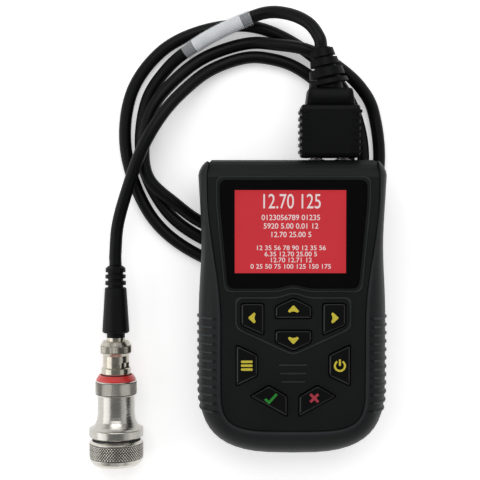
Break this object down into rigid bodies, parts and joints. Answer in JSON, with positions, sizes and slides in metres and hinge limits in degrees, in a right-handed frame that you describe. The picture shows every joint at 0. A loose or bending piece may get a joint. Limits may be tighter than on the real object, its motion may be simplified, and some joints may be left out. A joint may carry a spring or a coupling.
{
  "type": "ultrasonic thickness gauge",
  "caption": "Handheld ultrasonic thickness gauge: rubber-rimmed body with screen and keypad, and a coiled lead from its top plug to a cylindrical contact probe.",
  "frame": {"origin": "on the resting plane, below the middle of the gauge body", "axes": "+X to the right of the keypad, +Y towards the lead plug, +Z out of the screen"},
  "size_m": [0.1347, 0.2068, 0.0368],
  "materials": {
    "housing": "fine moulded texture",
    "bumper": "matt soft moulding with grip ribs",
    "seal": "matt",
    "screw": "satin",
    "lens": "smoked, polished",
    "display": "lit red screen",
    "board": "lacquered",
    "chip": "moulded",
    "dome": "pressed",
    "mat": "matt",
    "key": "polished, bevelled edges",
    "cell": "printed sleeve left plain",
    "spring_metal": "plated",
    "plug": "moulded, ribbed",
    "gilt": "plated",
    "jacket": "satin lead jacket",
    "label": "plain white",
    "sleeve": "clear",
    "boot": "satin",
    "nickel": "plated, knurled band",
    "steel": "turned",
    "knurl": "knurled",
    "red": "polished",
    "insulator": "moulded",
    "backing": "cast",
    "crystal": "ground",
    "membrane": "polished"
  },
  "bodies": {
    "gauge": {"front_housing": "housing", "rear_housing": "housing", "bumper": "bumper", "housing_seal": "seal", "housing_screws": "screw", "window_lens": "lens", "display_gasket": "seal", "display_module": "display", "main_board": "board", "board_chips": "chip", "board_screws": "screw", "key_switches": "dome", "keypad_mat": "mat", "battery_cells": "cell", "battery_contacts": "spring_metal", "battery_cover": "housing", "battery_seal": "seal", "cover_screws": "screw", "lead_sockets": "spring_metal", "socket_nuts": "screw", "plug_hood": "plug", "plug_contacts": "gilt", "plug_relief": "plug", "cable": "jacket", "marker_label": "label", "marker_sleeve": "sleeve", "probe_boot": "boot", "connector_body": "nickel", "connector_pin": "gilt", "probe_socket": "nickel", "socket_insulator": "insulator", "colour_ring": "red", "knurled_collar": "knurl", "probe_body": "steel", "backing_block": "backing", "crystal": "crystal", "wear_membrane": "membrane", "probe_seal": "seal"},
    "key_up_body": {"key_up": "key"},
    "key_down_body": {"key_down": "key"},
    "key_left_body": {"key_left": "key"},
    "key_right_body": {"key_right": "key"},
    "key_menu_body": {"key_menu": "key"},
    "key_power_body": {"key_power": "key"},
    "key_tick_body": {"key_tick": "key"},
    "key_cross_body": {"key_cross": "key"},
    "coupling_nut_body": {"coupling_nut": "nickel"},
    "retaining_ring_body": {"retaining_ring": "knurl"}
  },
  "joints": [
    {"name": "key_up_press", "type": "slide", "parent": "gauge", "child": "key_up_body", "axis": [0, 0, -1], "range_m": [0, 0.0008], "stiffness_N_per_m": 900},
    {"name": "key_down_press", "type": "slide", "parent": "gauge", "child": "key_down_body", "axis": [0, 0, -1], "range_m": [0, 0.0008], "stiffness_N_per_m": 900},
    {"name": "key_left_press", "type": "slide", "parent": "gauge", "child": "key_left_body", "axis": [0, 0, -1], "range_m": [0, 0.0008], "stiffness_N_per_m": 900},
    {"name": "key_right_press", "type": "slide", "parent": "gauge", "child": "key_right_body", "axis": [0, 0, -1], "range_m": [0, 0.0008], "stiffness_N_per_m": 900},
    {"name": "key_menu_press", "type": "slide", "parent": "gauge", "child": "key_menu_body", "axis": [0, 0, -1], "range_m": [0, 0.0008], "stiffness_N_per_m": 900},
    {"name": "key_power_press", "type": "slide", "parent": "gauge", "child": "key_power_body", "axis": [0, 0, -1], "range_m": [0, 0.0008], "stiffness_N_per_m": 900},
    {"name": "key_tick_press", "type": "slide", "parent": "gauge", "child": "key_tick_body", "axis": [0, 0, -1], "range_m": [0, 0.0008], "stiffness_N_per_m": 900},
    {"name": "key_cross_press", "type": "slide", "parent": "gauge", "child": "key_cross_body", "axis": [0, 0, -1], "range_m": [0, 0.0008], "stiffness_N_per_m": 900},
    {"name": "nut_turn", "type": "hinge", "parent": "gauge", "child": "coupling_nut_body", "pos_m": [-0.0793, -0.025, 0.0123], "axis": [0, -1, 0], "range_deg": [0, 60]},
    {"name": "ring_turn", "type": "hinge", "parent": "gauge", "child": "retaining_ring_body", "pos_m": [-0.0793, -0.067, 0.0123], "axis": [0, 1, 0], "continuous": true}
  ]
}
